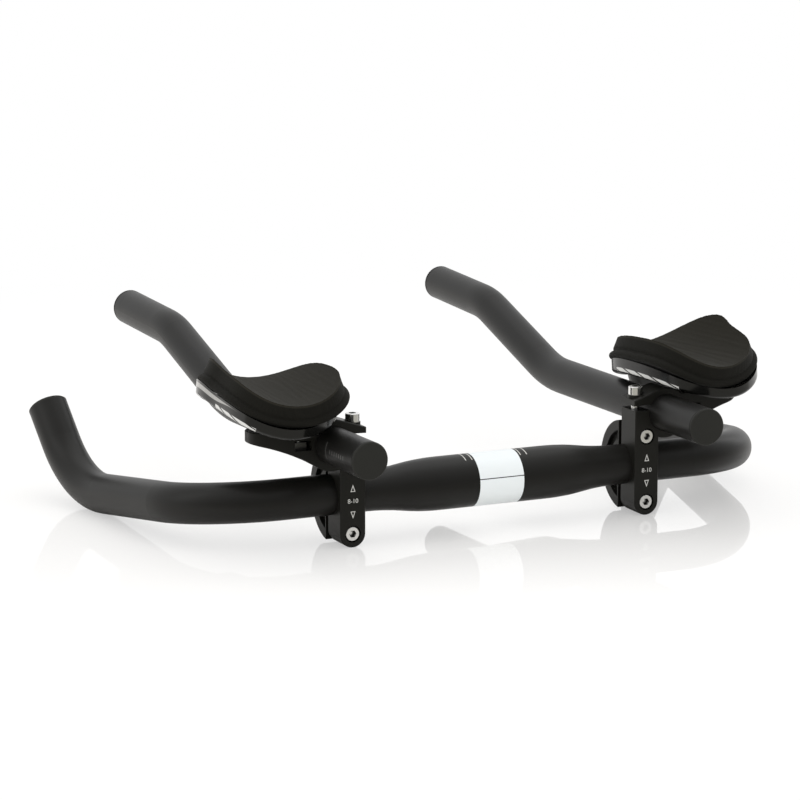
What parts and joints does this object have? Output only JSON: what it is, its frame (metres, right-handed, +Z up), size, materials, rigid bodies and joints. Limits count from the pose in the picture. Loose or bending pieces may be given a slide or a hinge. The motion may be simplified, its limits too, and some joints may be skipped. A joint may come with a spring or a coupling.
{
  "type": "aero handlebar with extensions",
  "caption": "Bullhorn base bar with clamp-on S-bend extensions and padded armrest cups, for riding low with the forearms supported.",
  "frame": {"origin": "middle of the stem clamp area, on the bar's axis", "axes": "+X to the rider's right along the bar, +Y forward, +Z up"},
  "size_m": [0.4398, 0.3739, 0.1109],
  "materials": {
    "bar_black": "satin black",
    "film_white": "glossy white film",
    "tube_black": "satin black",
    "plug_black": "matt black",
    "clamp_black": "fine-grained black",
    "bolt_chrome": "bright plated steel",
    "cup_black": "gloss black",
    "hook_black": "hook and loop",
    "pad_fabric": "knit-covered foam"
  },
  "bodies": {
    "root": {"base_bar": "bar_black", "centre_wrap": "film_white", "extension_right": "tube_black", "extension_left": "tube_black", "plug_rear_right": "plug_black", "plug_rear_left": "plug_black", "plug_front_right": "plug_black", "plug_front_left": "plug_black", "plug_horn_right": "plug_black", "plug_horn_left": "plug_black", "clamp_body_right": "clamp_black", "clamp_body_left": "clamp_black", "clamp_cap_right": "clamp_black", "clamp_cap_left": "clamp_black", "clamp_bolt_upper_right": "bolt_chrome", "clamp_bolt_upper_left": "bolt_chrome", "clamp_bolt_lower_right": "bolt_chrome", "clamp_bolt_lower_left": "bolt_chrome", "pinch_bolt_right": "bolt_chrome", "pinch_bolt_left": "bolt_chrome", "armrest_cup_right": "cup_black", "armrest_cup_left": "cup_black", "cup_screw_inner_right": "bolt_chrome", "cup_screw_inner_left": "bolt_chrome", "cup_screw_outer_right": "bolt_chrome", "cup_screw_outer_left": "bolt_chrome", "cup_nut_right": "bolt_chrome", "cup_nut_left": "bolt_chrome", "hook_patch_right": "hook_black", "hook_patch_left": "hook_black", "armrest_pad_right": "pad_fabric", "armrest_pad_left": "pad_fabric"}
  },
  "joints": []
}
